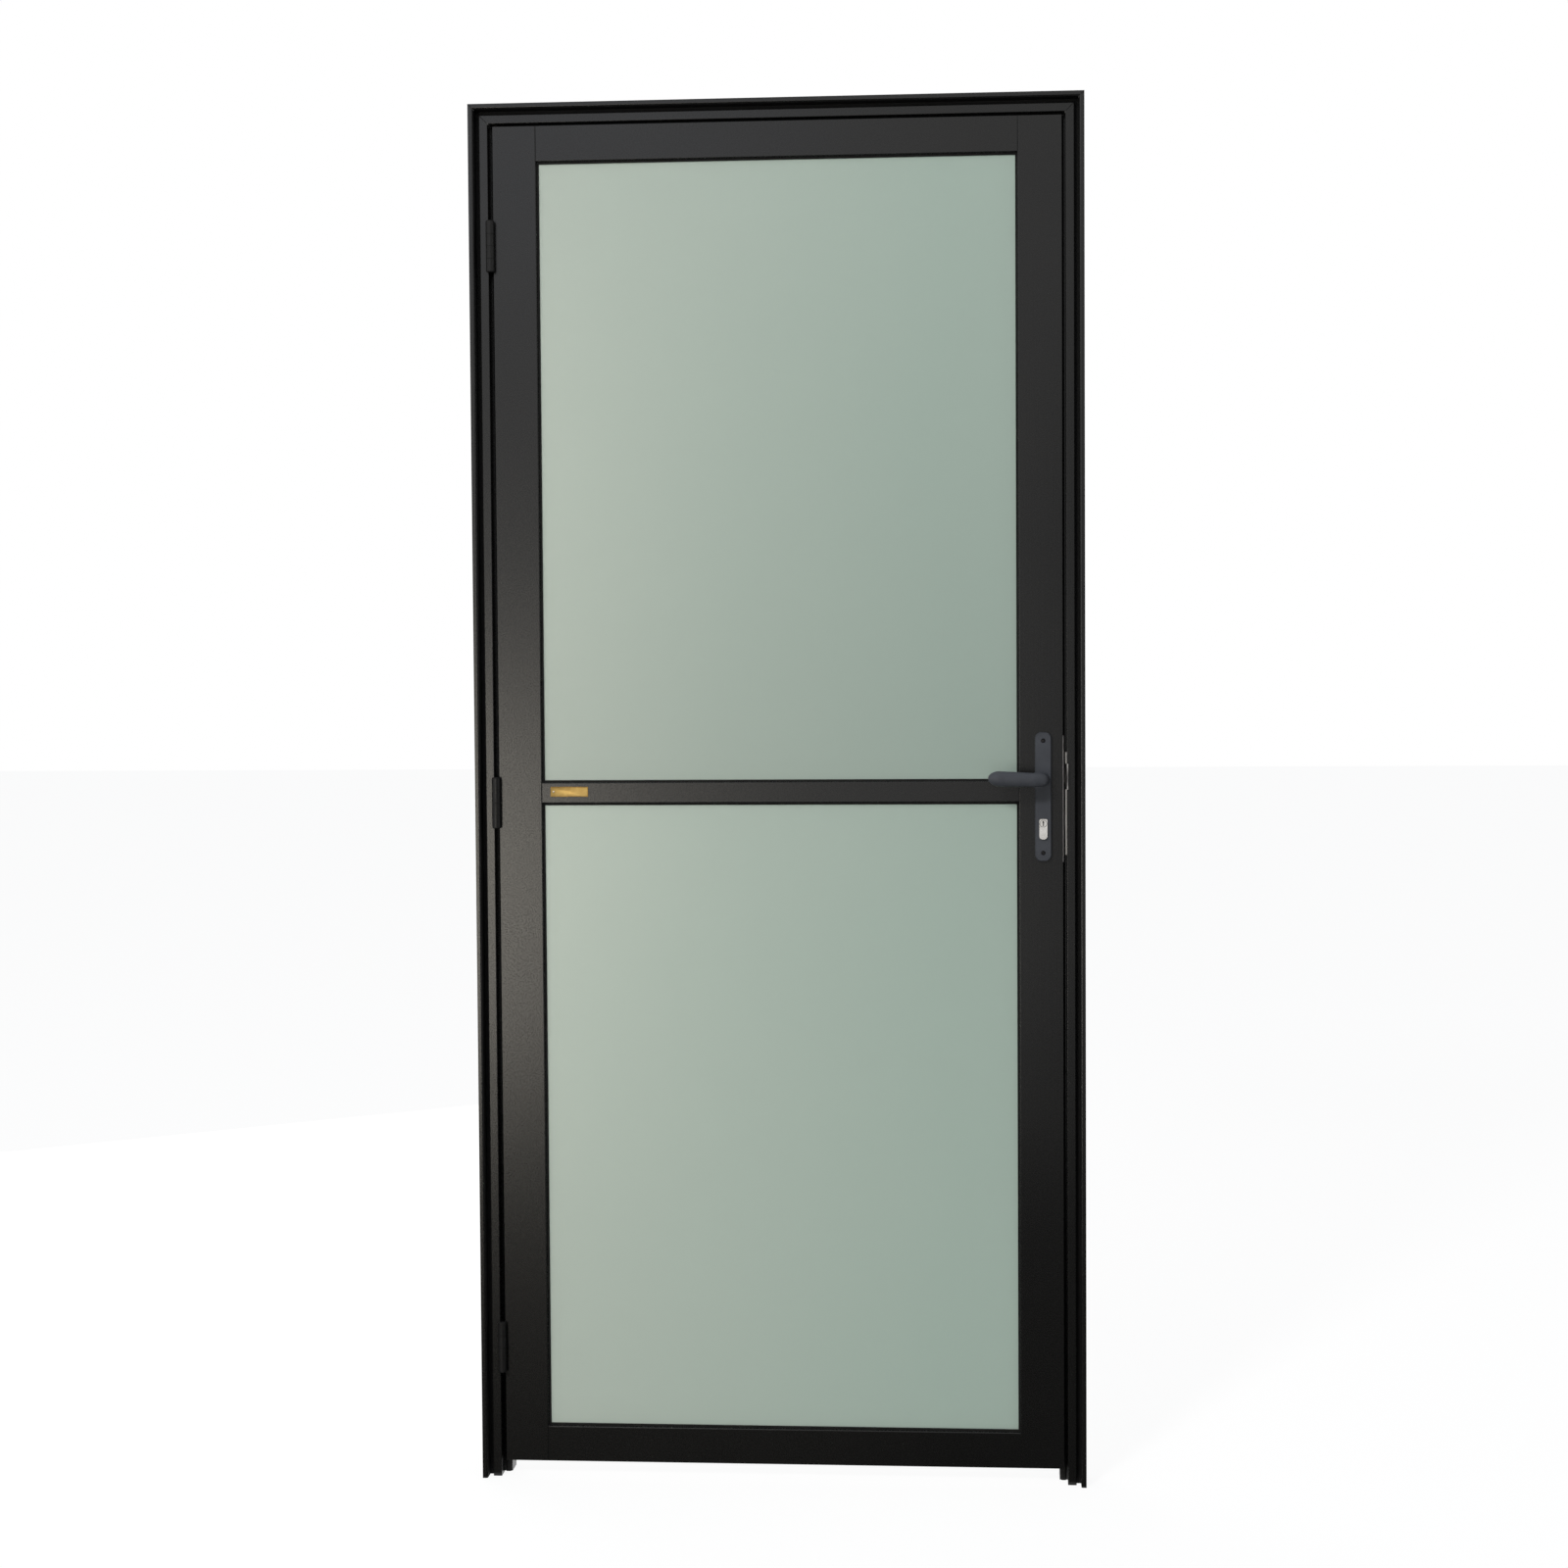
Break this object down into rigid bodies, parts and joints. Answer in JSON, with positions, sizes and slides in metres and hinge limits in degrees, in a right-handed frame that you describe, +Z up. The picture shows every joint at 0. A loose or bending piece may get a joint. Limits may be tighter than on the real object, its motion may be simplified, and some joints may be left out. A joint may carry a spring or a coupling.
{
  "type": "aluminium glass door in its frame",
  "caption": "Single aluminium door leaf with frosted glass panes, hinged in a mitred frame, with lever handles, mortise lock and strike.",
  "frame": {"origin": "on the wall face of the hinge jamb's flange, at the middle of its width and at floor level", "axes": "+X from the hinge side to the lock side, +Y from the front into the wall, +Z up"},
  "size_m": [0.94, 0.137, 2.13],
  "materials": {
    "frame_paint": "satin",
    "leaf_paint": "satin",
    "seal": "matt",
    "glass": "frosted",
    "hinge": "satin black",
    "lock_steel": "brushed",
    "handle": "matt",
    "spindle_steel": "plain",
    "cylinder": "satin nickel"
  },
  "bodies": {
    "frame": {"hinge_jamb": "frame_paint", "lock_jamb": "frame_paint", "head": "frame_paint", "hinge_jamb_seal": "seal", "lock_jamb_seal": "seal", "head_seal": "seal", "strike_plate": "lock_steel", "upper_hinge_frame_plate": "hinge", "upper_hinge_pin": "hinge", "middle_hinge_frame_plate": "hinge", "middle_hinge_pin": "hinge", "lower_hinge_frame_plate": "hinge", "lower_hinge_pin": "hinge"},
    "leaf": {"hinge_stile": "leaf_paint", "lock_stile": "leaf_paint", "top_rail": "leaf_paint", "mid_rail": "leaf_paint", "bottom_rail": "leaf_paint", "upper_top_bead": "leaf_paint", "upper_bottom_bead": "leaf_paint", "upper_hinge_side_bead": "leaf_paint", "upper_lock_side_bead": "leaf_paint", "lower_top_bead": "leaf_paint", "lower_bottom_bead": "leaf_paint", "lower_hinge_side_bead": "leaf_paint", "lower_lock_side_bead": "leaf_paint", "upper_front_gasket": "seal", "upper_rear_gasket": "seal", "lower_front_gasket": "seal", "lower_rear_gasket": "seal", "upper_glass": "glass", "lower_glass": "glass", "upper_hinge_leaf_plate": "hinge", "middle_hinge_leaf_plate": "hinge", "lower_hinge_leaf_plate": "hinge", "mortise_lock": "lock_steel", "latch_bolt": "lock_steel", "front_handle_plate": "handle", "rear_handle_plate": "handle", "lock_cylinder": "cylinder"},
    "lever": {"front_lever": "handle", "rear_lever": "handle", "spindle": "spindle_steel"},
    "deadbolt": {"deadbolt": "lock_steel"}
  },
  "joints": [
    {"name": "leaf_swing", "type": "hinge", "parent": "frame", "child": "leaf", "pos_m": [0.0245, -0.0197, 1], "axis": [0, 0, -1], "range_deg": [0, 165]},
    {"name": "lever_turn", "type": "hinge", "parent": "leaf", "child": "lever", "pos_m": [0.8686, -0.0005, 1.0924], "axis": [0, -1, 0], "range_deg": [0, 45], "stiffness_Nm_per_rad": 1.5},
    {"name": "deadbolt_slide", "type": "slide", "parent": "leaf", "child": "deadbolt", "axis": [1, 0, 0], "range_m": [0, 0.014]}
  ]
}
